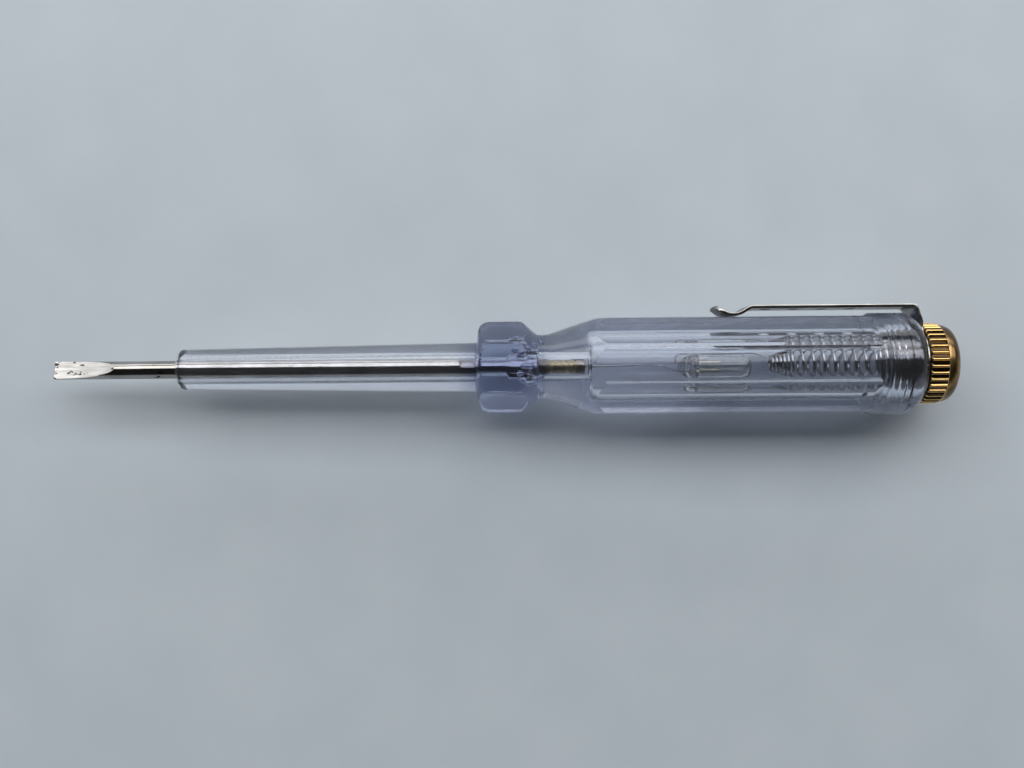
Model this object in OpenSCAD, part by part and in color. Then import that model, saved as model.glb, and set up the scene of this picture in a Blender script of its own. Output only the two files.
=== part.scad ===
// Neon voltage tester: a clear moulded screwdriver handle that holds a blade, a resistor, a lamp and
// a spring, closed by a knurled brass cap that also clamps the pocket clip.
// It lies on its side: +X runs from the blade's tip to the cap, +Y to the clip and +Z up.
// Stations along the axis are counted from the blade's tip, in millimetres.

/* [Blade] */
// Diameter of the steel shaft
shaft_d = 2.8; // [2.4:0.1:3.4]
// Bare shaft from the tip to the sleeve
bare_len = 19.7; // [14:0.1:40]
// Length of the ground flats at the tip
flat_len = 9.8; // [6:0.1:13]
// Thickness of the blade at its edge
edge_t = 0.6; // [0.4:0.05:1]
// Roll of the blade's flats from level
blade_roll = 14; // [0:1:90]
// How much wider than the shaft its crimped ears are
ear_spread = 1.1; // [0.6:0.1:1.6]
// Thickness of the crimped ears
ear_t = 1.6; // [1.2:0.1:2]
// Length of the crimped ears
ear_len = 4.6; // [3:0.1:6]
// Roll of the crimped ears from level
ear_roll = 8; // [0:1:90]

/* [Sleeve] */
// Length of the sleeve round the shaft
sleeve_len = 46.8; // [30:0.1:70]
// Diameter of the sleeve at its front end
sleeve_front_d = 6.3; // [5.6:0.1:7]
// Diameter of the sleeve where it meets the guard
sleeve_rear_d = 7.7; // [7:0.1:9]
// Rounding of the sleeve's front edge
sleeve_round = 1; // [0.3:0.1:1.2]
// Play round the shaft in its bore
shaft_play = 0.15; // [0.05:0.01:0.2]

/* [Guard] */
// Length of the hexagonal finger guard, with its rear slope
guard_len = 9.3; // [7:0.1:14]
// Width across the guard's flats
guard_flats = 12.5; // [11.5:0.1:15]
// How much the guard's corners add to its width across flats
guard_corners = 1.7; // [0.8:0.1:1.9]
// Rounding of the guard's front edge
guard_round = 2; // [0.5:0.1:2.2]
// Length of the guard's rear slope
guard_slope = 2.5; // [1:0.1:4]

/* [Barrel] */
// Diameter of the neck between the guard and the barrel
neck_d = 10; // [8:0.1:11.5]
// Length of the neck
neck_len = 1.5; // [0.5:0.1:4]
// Length of the cone from the neck to the flats
cone_len = 7.2; // [4:0.1:12]
// Length of the barrel's flats
barrel_len = 42.9; // [35:0.1:60]
// Width across the barrel's eight flats
barrel_flats = 14.8; // [12.3:0.1:19]
// How much the barrel's corners add to its width across flats
barrel_corners = 1; // [0.4:0.1:1.1]
// Diameter of the bore that holds the lamp and the spring
bore_d = 7.6; // [6.3:0.1:9.2]
// Rounding at the bore's front end
bore_round = 1.3; // [0.3:0.1:1.6]
// How far the bore reaches into the cone
bore_lead = 0.4; // [0:0.1:1]

/* [Collar] */
// Length of the round rear collar
collar_len = 7.1; // [6:0.1:12]
// How much the collar stands over the barrel's corners
collar_step = 0.1; // [0.1:0.1:1]
// Length of the scallops between the barrel's flats and the collar
collar_ramp = 1; // [0.5:0.1:2]
// Radius of the crowned edge at the collar's rear
crown_r = 2.7; // [2.5:0.1:4]
// Length of the crowned edge
crown_len = 2.4; // [1:0.1:2.4]

/* [Resistor] */
// Length of the resistor over its end caps
resistor_len = 8; // [5:0.1:9]
// Play of the end caps in the shaft's bore
resistor_play = 0.35; // [0.05:0.05:0.5]
// How far the resistor stays inside the shaft's bore
resistor_sink = 0.3; // [0:0.1:1]
// Length of each end cap
resistor_cap_len = 1.5; // [1:0.1:2]
// Wall of the end caps
resistor_cap_wall = 0.2; // [0.15:0.01:0.3]
// How far the coated body's waist draws in from the end caps
resistor_waist = 0.15; // [0.05:0.05:0.3]
// Length over which the coated body swells towards each end cap
resistor_swell = 0.6; // [0.2:0.1:0.9]

/* [Lamp] */
// Play of the glass bulb in the bore
lamp_play = 0.85; // [0.5:0.05:1]
// Side of the bore that the lamp lies on, rolled from straight down towards the clip
lamp_lie = -28; // [-60:1:10]
// Length of the glass bulb with its sealed tip
lamp_len = 10.8; // [9:0.1:14]
// Wall of the glass
lamp_wall = 0.45; // [0.3:0.05:0.5]
// Rounding of the bulb's rear end
lamp_round = 1.6; // [0.8:0.1:1.8]
// Radius and height of the sealed tip
lamp_tip = 0.5; // [0.3:0.1:0.8]
// Length of the glass stem in the bulb's front end
stem_len = 2.4; // [1.5:0.1:3]
// How far the stem's pinched nose stands out in front
stem_nose = 0.7; // [0.3:0.1:1]
// Diameter of the rod electrodes
electrode_d = 1.3; // [1:0.1:1.4]
// Length of the rod electrodes
electrode_len = 3.3; // [2:0.1:5]
// Distance between the electrodes' axes
electrode_pitch = 1.9; // [1.6:0.1:2.2]
// Diameter of the wire from the resistor to the lamp
front_lead_d = 0.4; // [0.3:0.05:0.6]
// Diameter of the wire that returns past the bulb to the spring
return_lead_d = 0.25; // [0.2:0.05:0.3]
// Room between the bulb's tip and the spring
lamp_gap = 2.2; // [1.6:0.1:4]

/* [Spring] */
// Diameter of the spring wire
wire_d = 0.45; // [0.35:0.05:0.5]
// Play of the spring in the bore
spring_play = 0.45; // [0.3:0.05:0.8]
// Side of the bore that the spring lies on, rolled from straight down towards the clip
spring_lie = 63; // [0:1:90]
// Diameter of the spring's small front end
spring_front_d = 3.8; // [3:0.1:4.6]
// Length of the spring as fitted
spring_len = 18.2; // [16:0.1:20]
// Turns in the close conical front
cone_turns = 3.5; // [2:0.5:5]
// Pitch of the close turns
close_pitch = 0.88; // [0.86:0.01:1]
// Turns in the open part
open_turns = 9; // [7:0.5:10]

/* [Cap] */
// Length of the cap's head
head_len = 5; // [3.5:0.1:7]
// Diameter over the knurl
knurl_d = 12.5; // [11.8:0.1:15]
// Length of the smooth rounded rim behind the knurl
rim_len = 2.2; // [0.8:0.1:2.6]
// Step from the knurl down to the rim
rim_step = 0.2; // [0:0.05:0.4]
// Number of knurl grooves
knurl_count = 36; // [24:1:40]
// Depth of the knurl grooves
knurl_depth = 0.35; // [0.2:0.05:0.4]
// How much wider than the bore the stud that screws into the collar is
stud_step = 0.5; // [0.3:0.1:1.6]
// Length of the stud
stud_len = 5.3; // [4.6:0.1:6.5]
// Play round the stud in its socket
stud_play = 0.06; // [0.02:0.01:0.1]
// Room between the stud's end and the floor of its socket
socket_room = 0.4; // [0.1:0.1:0.6]
// Chamfer at the socket's mouth
socket_chamfer = 0.4; // [0.2:0.1:0.8]

/* [Clip] */
// Thickness of the clip's strip
clip_t = 0.5; // [0.3:0.05:0.6]
// Width of the strip
clip_w = 6; // [4:0.1:7]
// Gap between the barrel and the arm
clip_gap = 1; // [0.8:0.1:2.5]
// Reach of the arm from the ring to where its nose touches
clip_reach = 29; // [26:0.1:32]
// Outer diameter of the clip's ring
ring_d = 11.6; // [10.6:0.1:12.4]
// Play of the ring round the stud
ring_play = 0.1; // [0.05:0.01:0.2]
// Outer radius of the bend between the ring's leg and the arm
bend_r = 1; // [0.7:0.1:1.4]
// Forward lean of the ring's leg past the collar's rear face
leg_lean = 18; // [0:1:24]
// Slit at the bend, where the arm flexes
flex_slit = 0.05; // [0.02:0.01:0.1]
// Radius of the bend from the arm down to the nose
knee_r = 1.4; // [0.8:0.1:2.7]
// Radius of the nose
nose_r = 3; // [1.5:0.1:4.2]
// Slope of the strip between the arm and the nose
nose_fall = 32; // [20:1:35]
// Slope of the strip's lifted tip
tip_lift = 33; // [25:1:50]
// Length of the straight tip
tip_len = 1.3; // [0.4:0.1:2]
// Gap between the nose and the barrel
nose_gap = 0.12; // [0.05:0.01:0.3]
// Number of round holes in the arm
hole_count = 4; // [0:1:4]
// Diameter of the holes
hole_d = 1.8; // [1:0.1:3]
// Distance between the holes
hole_pitch = 4.4; // [3.5:0.1:4.8]
// Distance from the bend at the nose to the first hole
hole_inset = 2.4; // [1.2:0.1:4]
// Rounding of the strip's corners at its tip
clip_corner = 1.4; // [0.5:0.1:2]

/* [Hidden] */
$fn = 64;

// Room that a cutting shape reaches past the surface it cuts
over = 1;

// Stations along the axis
guard_x = bare_len + sleeve_len;
neck_x = guard_x + guard_len;
cone_x = neck_x + neck_len;
barrel_x = cone_x + cone_len;
collar_x = barrel_x + barrel_len;
ring_x = collar_x + collar_len;
head_x = ring_x + clip_t;
overall_len = head_x + head_len;

// Diameters over the corners, and of the collar
guard_d = guard_flats + guard_corners;
barrel_d = barrel_flats + barrel_corners;
collar_d = barrel_d + collar_step;

// The cone goes on past the flats until it reaches the corners
cone_end_x = cone_x + cone_len * (barrel_d - neck_d) / (barrel_flats - neck_d);

// The collar's crowned edge turns about this radius
crown_in = collar_d / 2 - crown_r;

// Bores and the socket
shaft_bore_d = shaft_d + 2 * shaft_play;
bore_x = barrel_x - bore_lead;
stud_d = bore_d + stud_step;
stud_x = head_x - stud_len;
socket_x = stud_x - socket_room;
socket_d = stud_d + 2 * stud_play;

// The resistor stops just short of the wide bore, and the shaft ends against it
resistor_end = bore_x - resistor_sink;
resistor_x = resistor_end - resistor_len;
resistor_cap_d = shaft_bore_d - 2 * resistor_play;

// The crimped ears end just short of the shaft's rear end
ear_tail = 0.4;
ear_x = resistor_x - ear_tail - ear_len;
ear_w = shaft_d + ear_spread;
ear_ramp = 0.6;
ear_play = 0.03;

// The spring bears on the stud's end, and the lamp stands in front of it
spring_d = bore_d - 2 * spring_play;
spring_x = stud_x - spring_len;
lamp_d = bore_d - 2 * lamp_play;
lamp_end = spring_x - lamp_gap;
lamp_x = lamp_end - lamp_len;
lamp_in_r = lamp_d / 2 - lamp_wall;
stem_x = lamp_x - stem_nose;
stem_end = lamp_x + stem_len;
electrode_y = electrode_pitch / 2;

// The lamp and the spring are loose in the bore, and each lies against its wall with a hair's gap
lie_gap = 0.05;
function lying_side(play, roll) = (play - lie_gap) * [0, sin(roll), -cos(roll)];
lamp_shift = lying_side(lamp_play, lamp_lie);
spring_shift = lying_side(spring_play, spring_lie);

// The strip's own levels, measured from the axis
clip_y = barrel_flats / 2 + clip_gap + clip_t;
arm_y = clip_y - clip_t / 2;
touch_y = barrel_flats / 2 + nose_gap + clip_t / 2;
leg_y = clip_y - bend_r;

// The leg is square to the axis up to the edge of the collar's rear face, and leans forward from there
leg_mitre = clip_t / 2 * tan(leg_lean / 2);
lean_y = crown_in + sqrt(pow(crown_r, 2) - pow(crown_len, 2)) + leg_mitre;
leg_turn_r = bend_r - clip_t / 2;
leg_len = (leg_y + leg_turn_r * sin(leg_lean) - lean_y) / cos(leg_lean);
leg_end_x = ring_x + clip_t / 2 - leg_len * sin(leg_lean);

// Where the strip bends, counted along the axis
nose_x = head_x - clip_reach;
fall_len = (arm_y - touch_y - (knee_r + nose_r) * (1 - cos(nose_fall))) / sin(nose_fall);
knee_x = nose_x + (knee_r + nose_r) * sin(nose_fall) + fall_len * cos(nose_fall);
tip_x = nose_x - nose_r * sin(tip_lift) - tip_len * cos(tip_lift) - clip_t / 2 * sin(tip_lift);
tip_y = touch_y + nose_r * (1 - cos(tip_lift)) + tip_len * sin(tip_lift) + clip_t / 2 * cos(tip_lift);
bend_steps = 12;

// The tester lies on its collar, centred over its own outline
axis_y = (collar_d / 2 - max(clip_y, tip_y)) / 2;
axis_z = collar_d / 2;

// Rings in each turn of the spring, and sides of every wire
turn_rings = 8;
wire_sides = 6;

function unit(v) = v / norm(v);

// Direction of a path at point i
function heading(path, i) = unit(path[min(i + 1, len(path) - 1)] - path[max(i - 1, 0)]);

// A ring of points round p, square to the heading t and turned towards the side given
function wire_ring(p, t, side, r) =
    let (u = unit(side - (side * t) * t))
    let (w = cross(t, u))
    [for (k = [0:wire_sides - 1]) p + r * (cos(360 * k / wire_sides) * u + sin(360 * k / wire_sides) * w)];

// The spring's axial place, radius and direction after a number of turns
open_pitch = (spring_len - 2 * wire_d - cone_turns * close_pitch) / open_turns;
spring_mean_r = (spring_d - wire_d) / 2;
spring_front_r = (spring_front_d - wire_d) / 2;
function coil_x(n) = spring_x + wire_d + min(n, cone_turns) * close_pitch
    + max(n - cone_turns, 0) * open_pitch;
function coil_r(n) = spring_front_r + (spring_mean_r - spring_front_r) * min(n / cone_turns, 1);
function coil_side(n) = [0, cos(360 * n), sin(360 * n)];
function coil_point(n) = [coil_x(n), 0, 0] + spring_shift + coil_r(n) * coil_side(n);

// The coil's points, with a straight end of one wire diameter at the front and at the rear
coil_steps = round((cone_turns + open_turns) * turn_rings);
coil_turns = [for (i = [0:coil_steps]) i / turn_rings];
wire_end = [wire_d, 0, 0];
coil_path = concat([coil_point(0) - wire_end], [for (n = coil_turns) coil_point(n)],
    [coil_point(coil_steps / turn_rings) + wire_end]);
coil_sides = concat([coil_side(0)], [for (n = coil_turns) coil_side(n)],
    [coil_side(coil_steps / turn_rings)]);

// Least gap between the wire and itself, over points at least half a turn apart
coil_gap = min([for (i = [1:coil_steps - turn_rings / 2])
    min([for (j = [i + turn_rings / 2:coil_steps + 1]) norm(coil_path[i] - coil_path[j])])]) - wire_d;
echo(str("contact_spring least gap to itself, mm: ", coil_gap));

// The front wire runs along the axis from the resistor's cap and bends over to the left electrode
lead_bend = 3.4;
left_at = lamp_shift - [0, electrode_y, 0];
front_lead_path = [
    [resistor_end, 0, 0],
    [stem_x - lead_bend, 0, 0],
    [stem_x - front_lead_d, 0, 0] + left_at,
    [stem_end, 0, 0] + left_at];

// The return wire leaves the stem, folds back along the bulb's side and meets the spring's front end
fold_room = 0.6;
fold_x = stem_x - fold_room;
fold_rise = 20;
fold_r = (lamp_d + return_lead_d) / 2 + lie_gap;
right_at = lamp_shift + [0, electrode_y, 0];
beside_at = lamp_shift + fold_r * [0, cos(fold_rise), sin(fold_rise)];
fold_way = unit(beside_at - right_at);
return_lead_path = [
    [stem_end, 0, 0] + right_at,
    [fold_x + fold_room / 2, 0, 0] + right_at,
    [fold_x, 0, 0] + right_at + fold_room * fold_way,
    [fold_x, 0, 0] + beside_at - fold_room * fold_way,
    [fold_x + fold_room, 0, 0] + beside_at,
    [lamp_end, 0, 0] + beside_at,
    coil_path[0] - [fold_room, 0, 0],
    coil_path[0]];
return_lead_side = cross([1, 0, 0], fold_way);

// Puts a piece that is drawn along the axis where the tester lies
module lying() translate([-overall_len / 2, axis_y, axis_z]) children();

// Turns an outline of radius against station round the axis
module turned() rotate([0, 90, 0]) rotate_extrude() children();

// Square outline between two radii and two stations
module band(r0, r1, x0, x1) translate([r0, x0]) square([r1 - r0, x1 - x0]);

// What rounding takes off an outline's outer corner at its front
module front_corner(corner_r, station, round_r) difference() {
    band(corner_r - round_r, corner_r + over, station - over, station + round_r);
    translate([corner_r - round_r, station + round_r]) circle(round_r);
}

// What rounding takes off an outline's outer corner at its rear
module rear_corner(corner_r, station, round_r) difference() {
    band(corner_r - round_r, corner_r + over, station - round_r, station + over);
    translate([corner_r - round_r, station - round_r]) circle(round_r);
}

// A plain rod along the axis between two stations
module rod(d, x0, x1) translate([x0, 0, 0]) rotate([0, 90, 0]) cylinder(d = d, h = x1 - x0);

// Blocks that leave a number of flats round the axis, the first one on top
module flat_cuts(count, across, x0, x1) for (k = [0:count - 1])
    rotate([360 * k / count, 0, 0])
        translate([x0, -barrel_d, across / 2]) cube([x1 - x0, 2 * barrel_d, barrel_d]);

// A bar along Y with the outline given in X and Z
module crossbar(length) rotate([90, 0, 0]) linear_extrude(length, center = true) children();

// The same shape above and below the axis, rolled about it
module both_sides(roll) for (side = [0, 180]) rotate([roll + side, 0, 0]) children();

// A wire of one diameter along a path
module wire(path, sides, d) {
    n = wire_sides;
    last = len(path) - 1;
    points = [for (i = [0:last]) each wire_ring(path[i], heading(path, i), sides[i], d / 2)];
    skin = [for (i = [0:last - 1]) for (k = [0:n - 1])
        let (a = i * n + k)
        let (b = i * n + (k + 1) % n)
        each [[a, a + n, b + n], [a, b + n, b]]];
    front = [for (k = [1:n - 2]) [0, k, k + 1]];
    rear = [for (k = [1:n - 2]) [last * n, last * n + k + 1, last * n + k]];
    polyhedron(points = points, faces = concat(skin, front, rear));
}

// The ears' solid, grown all round by some play to make their pocket
module ears(play) intersection() {
    turned() polygon([
        [0, ear_x - play],
        [shaft_d / 2 + play, ear_x - play],
        [ear_w / 2 + play, ear_x + ear_ramp - play],
        [ear_w / 2 + play, ear_x + ear_len - ear_ramp + play],
        [shaft_d / 2 + play, ear_x + ear_len + play],
        [0, ear_x + ear_len + play]]);
    rotate([ear_roll, 0, 0]) translate([ear_x - over, -ear_w, -ear_t / 2 - play])
        cube([ear_len + 2 * over, 2 * ear_w, ear_t + 2 * play]);
}

// Outline of the moulding from the sleeve to the end of the barrel
module front_outline() difference() {
    polygon([
        [0, bare_len],
        [sleeve_front_d / 2, bare_len],
        [sleeve_front_d / 2, bare_len + sleeve_round],
        [sleeve_rear_d / 2, guard_x],
        [guard_d / 2, guard_x],
        [guard_d / 2, neck_x - guard_slope],
        [neck_d / 2, neck_x],
        [neck_d / 2, cone_x],
        [barrel_d / 2, cone_end_x],
        [barrel_d / 2, collar_x],
        [0, collar_x]]);
    front_corner(sleeve_front_d / 2, bare_len, sleeve_round);
    front_corner(guard_d / 2, guard_x, guard_round);
}

// Outline of the rear collar, from its scallops to its crowned edge
module collar_outline() {
    polygon([
        [0, collar_x - collar_ramp],
        [barrel_flats / 2, collar_x - collar_ramp],
        [collar_d / 2, collar_x],
        [collar_d / 2, ring_x - crown_len],
        [0, ring_x - crown_len]]);
    band(0, crown_in, ring_x - crown_len, ring_x);
    intersection() {
        translate([crown_in, ring_x - crown_len]) circle(crown_r);
        band(crown_in, collar_d / 2, ring_x - crown_len, ring_x);
    }
}

// Everything that is hollow in the moulding
module handle_bores() {
    rod(shaft_bore_d, bare_len - over, bore_x + bore_round);
    ears(ear_play);
    turned() difference() {
        band(0, bore_d / 2, bore_x, socket_x + over);
        front_corner(bore_d / 2, bore_x, bore_round);
    }
    rod(socket_d, socket_x, ring_x + over);
    turned() polygon([
        [0, ring_x - socket_chamfer],
        [socket_d / 2, ring_x - socket_chamfer],
        [socket_d / 2 + socket_chamfer + over, ring_x + over],
        [0, ring_x + over]]);
}

module handle() color("lightsteelblue", 0.4) lying() difference() {
    union() {
        difference() {
            turned() front_outline();
            flat_cuts(6, guard_flats, guard_x - over, neck_x);
            flat_cuts(8, barrel_flats, cone_x, collar_x + over);
        }
        turned() collar_outline();
    }
    handle_bores();
}

// What the crimping tool presses out of the shaft on each side of the ears
module crimp() crossbar(2 * shaft_d) polygon([
    [ear_x, shaft_d / 2],
    [ear_x + ear_ramp, ear_t / 2],
    [ear_x + ear_len - ear_ramp, ear_t / 2],
    [ear_x + ear_len, shaft_d / 2],
    [ear_x + ear_len, shaft_d],
    [ear_x, shaft_d]]);

// What the grinding wheel takes off each side of the tip
module tip_grind() {
    depth = (shaft_d - edge_t) / 2;
    wheel_r = (pow(flat_len, 2) + pow(depth, 2)) / (2 * depth);
    crossbar(2 * shaft_d) translate([0, edge_t / 2 + wheel_r]) circle(wheel_r);
}

module blade() color("gainsboro") lying() difference() {
    union() {
        difference() {
            rod(shaft_d, 0, resistor_x);
            both_sides(ear_roll) crimp();
        }
        ears(0);
    }
    both_sides(blade_roll) tip_grind();
}

// An end cap of the resistor, open to the rear, with its closed end at station 0
module resistor_cap() turned() difference() {
    band(0, resistor_cap_d / 2, 0, resistor_cap_len);
    band(0, resistor_cap_d / 2 - resistor_cap_wall, resistor_cap_wall, resistor_cap_len + over);
    front_corner(resistor_cap_d / 2, 0, resistor_cap_wall);
}

module resistor_front_cap() color("silver") lying() translate([resistor_x, 0, 0]) resistor_cap();

module resistor_rear_cap() color("silver") lying()
    translate([resistor_end, 0, 0]) mirror([1, 0, 0]) resistor_cap();

module resistor_body() color("tan") lying() {
    in_r = resistor_cap_d / 2 - resistor_cap_wall;
    waist_r = resistor_cap_d / 2 - resistor_waist;
    cap_end = resistor_x + resistor_cap_len;
    cap_start = resistor_end - resistor_cap_len;
    turned() polygon([
        [0, resistor_x + resistor_cap_wall],
        [in_r, resistor_x + resistor_cap_wall],
        [in_r, cap_end],
        [resistor_cap_d / 2, cap_end],
        [waist_r, cap_end + resistor_swell],
        [waist_r, cap_start - resistor_swell],
        [resistor_cap_d / 2, cap_start],
        [in_r, cap_start],
        [in_r, resistor_end - resistor_cap_wall],
        [0, resistor_end - resistor_cap_wall]]);
}

// Outline of the bulb or of the space in it, with a rounded rear end
module bulb_outline(r, x0, x1, round_r) difference() {
    band(0, r, x0, x1);
    rear_corner(r, x1, round_r);
}

// Puts a piece of the lamp, drawn along the axis, where the lamp lies in the bore
module in_lamp() lying() translate(lamp_shift) children();

module lamp_bulb() color("azure", 0.35) in_lamp() turned() difference() {
    union() {
        bulb_outline(lamp_d / 2, lamp_x, lamp_end - lamp_tip, lamp_round);
        bulb_outline(lamp_tip, lamp_end - lamp_tip - lamp_wall / 2, lamp_end, lamp_tip);
    }
    bulb_outline(lamp_in_r, lamp_x - over, lamp_end - lamp_tip - lamp_wall, lamp_round - lamp_wall);
    front_corner(lamp_d / 2, lamp_x, lamp_wall / 2);
}

module lamp_stem() color("powderblue", 0.35) in_lamp() difference() {
    nose_in_r = electrode_y + front_lead_d;
    turned() polygon([
        [0, stem_x],
        [nose_in_r, stem_x],
        [lamp_in_r, lamp_x + stem_nose],
        [lamp_in_r, stem_end],
        [0, stem_end]]);
    translate([0, -electrode_y, 0]) rod(front_lead_d, stem_x - over, stem_end + over);
    translate([0, electrode_y, 0]) rod(return_lead_d, stem_x - over, stem_end + over);
}

// A rod electrode that stands on the stem, with a rounded end
module electrode(side) translate([0, side * electrode_y, 0])
    turned() bulb_outline(electrode_d / 2, stem_end, stem_end + electrode_len, electrode_d / 4);

module lamp_left_electrode() color("darkkhaki") in_lamp() electrode(-1);

module lamp_right_electrode() color("darkkhaki") in_lamp() electrode(1);

module lamp_front_lead() color("silver") lying()
    wire(front_lead_path, [for (p = front_lead_path) [0, 0, 1]], front_lead_d);

module lamp_return_lead() color("silver") lying()
    wire(return_lead_path, [for (p = return_lead_path) return_lead_side], return_lead_d);

module contact_spring() color("dimgray") lying() wire(coil_path, coil_sides, wire_d);

// Outline of the cap's head, with a chamfer before the knurl and a rounded rim behind it
module head_outline() {
    rim_r = knurl_d / 2 - rim_step;
    rim_x = overall_len - rim_len;
    difference() {
        band(0, rim_r, head_x + knurl_depth, overall_len);
        rear_corner(rim_r, overall_len, rim_len);
    }
    polygon([
        [0, head_x],
        [knurl_d / 2 - knurl_depth, head_x],
        [knurl_d / 2, head_x + knurl_depth],
        [knurl_d / 2, rim_x],
        [0, rim_x]]);
}

module end_cap() color("goldenrod") lying() difference() {
    groove_w = knurl_d / 4;
    union() {
        turned() head_outline();
        rod(stud_d, stud_x, head_x + knurl_depth);
    }
    for (k = [0:knurl_count - 1]) rotate([360 * k / knurl_count, 0, 0])
        translate([head_x - over, 0, knurl_d / 2 - knurl_depth])
            rotate([45, 0, 0]) cube([head_len + 2 * over, groove_w, groove_w]);
}

// The ring's leg seen from above, up to the slit at the bend
module leg_outline() {
    across = clip_t / 2 * [cos(leg_lean), sin(leg_lean)];
    leg_end = [leg_end_x, lean_y + leg_len * cos(leg_lean)]
        + flex_slit * [sin(leg_lean), -cos(leg_lean)];
    polygon([
        [ring_x, 0],
        [head_x, 0],
        [head_x, lean_y + leg_mitre],
        leg_end + across,
        leg_end - across,
        [ring_x, lean_y - leg_mitre]]);
}

module clip_ring() color("silver") lying() difference() {
    union() {
        rod(ring_d, ring_x, head_x);
        linear_extrude(clip_w, center = true) leg_outline();
    }
    rod(stud_d + 2 * ring_play, ring_x - over, head_x + over);
}

// Stops along a bend of the strip's middle line: x, y and the direction of the strip's upper side
function bend_stops(centre, r, from, to, side) = [for (i = [0:bend_steps])
    let (a = from + (to - from) * i / bend_steps)
    [centre.x + r * cos(a), centre.y + r * sin(a), a + side]];

// The strip seen from above, from its bend to its lifted tip
module arm_outline() {
    nose_centre = [nose_x, touch_y + nose_r];
    nose_end = nose_centre + nose_r * [-sin(tip_lift), -cos(tip_lift)];
    tip_end = nose_end + tip_len * [-cos(tip_lift), sin(tip_lift)];
    stops = concat(
        bend_stops([leg_end_x - leg_turn_r * cos(leg_lean), leg_y], leg_turn_r, leg_lean, 90, 0),
        bend_stops([knee_x, arm_y - knee_r], knee_r, 90, 90 + nose_fall, 0),
        bend_stops(nose_centre, nose_r, 270 + nose_fall, 270 - tip_lift, -180),
        [[tip_end.x, tip_end.y, 90 - tip_lift]]);
    last = len(stops) - 1;
    function edge(s, d) = [s[0], s[1]] + d * [cos(s[2]), sin(s[2])];
    upper = [for (s = stops) edge(s, clip_t / 2)];
    lower = [for (i = [last:-1:0]) edge(stops[i], -clip_t / 2)];
    polygon(concat(upper, lower));
}

// The strip seen from its flat side, with rounded corners at its tip
module strip_plan() difference() {
    translate([tip_x, -clip_w / 2]) square([head_x - tip_x, clip_w]);
    for (side = [0, 1]) mirror([0, side])
        translate([tip_x + clip_corner, clip_w / 2 - clip_corner]) difference() {
            translate([-clip_corner - over, 0]) square(clip_corner + over);
            circle(clip_corner);
        }
}

module clip_arm() color("silver") lying() difference() {
    intersection() {
        linear_extrude(clip_w, center = true) arm_outline();
        translate([0, clip_y, 0]) crossbar(2 * clip_y) strip_plan();
    }
    for (k = [0:1:hole_count - 1]) translate([knee_x + hole_inset + k * hole_pitch, clip_y + over, 0])
        rotate([90, 0, 0]) cylinder(d = hole_d, h = clip_t + 2 * over);
}

handle();
blade();
resistor_front_cap();
resistor_body();
resistor_rear_cap();
lamp_bulb();
lamp_stem();
lamp_left_electrode();
lamp_right_electrode();
lamp_front_lead();
lamp_return_lead();
contact_spring();
end_cap();
clip_ring();
clip_arm();
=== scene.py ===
# %% [markdown]
# A neon voltage tester, built round its own construction model. The construction gives every piece its
# real size and place. This lesson gives the pieces their looks: clear plastic that really bends light,
# plated steel, knurled brass and a small glass lamp. Load the frame first. The finished looks must not
# be bigger than the construction.

# %% Load the frame
import math

import bmesh
import bpy
import numpy as np
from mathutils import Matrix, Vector


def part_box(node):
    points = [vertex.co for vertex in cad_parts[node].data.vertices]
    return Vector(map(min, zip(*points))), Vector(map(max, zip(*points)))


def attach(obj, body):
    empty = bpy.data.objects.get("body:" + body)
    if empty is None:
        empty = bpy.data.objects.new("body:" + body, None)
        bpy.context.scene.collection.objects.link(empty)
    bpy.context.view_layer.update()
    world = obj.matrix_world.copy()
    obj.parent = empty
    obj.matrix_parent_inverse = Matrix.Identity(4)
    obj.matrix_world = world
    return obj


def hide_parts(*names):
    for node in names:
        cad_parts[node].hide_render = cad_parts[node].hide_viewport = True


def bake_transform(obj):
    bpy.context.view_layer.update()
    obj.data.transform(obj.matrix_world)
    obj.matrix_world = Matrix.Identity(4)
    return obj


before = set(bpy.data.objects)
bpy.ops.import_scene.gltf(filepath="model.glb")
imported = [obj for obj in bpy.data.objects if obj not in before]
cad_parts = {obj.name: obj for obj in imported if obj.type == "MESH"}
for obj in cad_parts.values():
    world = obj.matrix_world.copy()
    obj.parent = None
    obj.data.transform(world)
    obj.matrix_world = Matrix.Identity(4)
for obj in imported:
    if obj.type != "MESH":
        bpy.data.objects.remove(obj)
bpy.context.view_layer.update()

print("nodes:", sorted(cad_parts))

# %% [markdown]
# Almost everything on this object was turned on one axis, so a place is easiest to say as a station: how
# many millimetres it lies behind the blade's tip. The axis is read from the brass cap's box and the first
# stations from the boxes of the pieces, so these can't drift away from the construction. Sizes that no box
# shows, such as a step inside a piece, are written out where they are first needed.

# %% Stations along the axis
MM = 0.001
cap_low, cap_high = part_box("end_cap")
TIP_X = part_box("blade")[0].x
AXIS_Y = (cap_low.y + cap_high.y) / 2
AXIS_Z = (cap_low.z + cap_high.z) / 2


def span(node):
    """First and last station of a construction piece, in millimetres."""
    low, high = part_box(node)
    return (low.x - TIP_X) / MM, (high.x - TIP_X) / MM


def off_axis(node):
    """How far the middle of a construction piece lies off the axis: 0, sideways and up in millimetres."""
    low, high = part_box(node)
    return np.array((0, (low.y + high.y) / 2 - AXIS_Y, (low.z + high.z) / 2 - AXIS_Z)) / MM


def to_world(points):
    """Points as (station, sideways, up) in millimetres, placed in the frame in metres."""
    return np.asarray(points, float) * MM + np.array((TIP_X, AXIS_Y, AXIS_Z))


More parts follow.
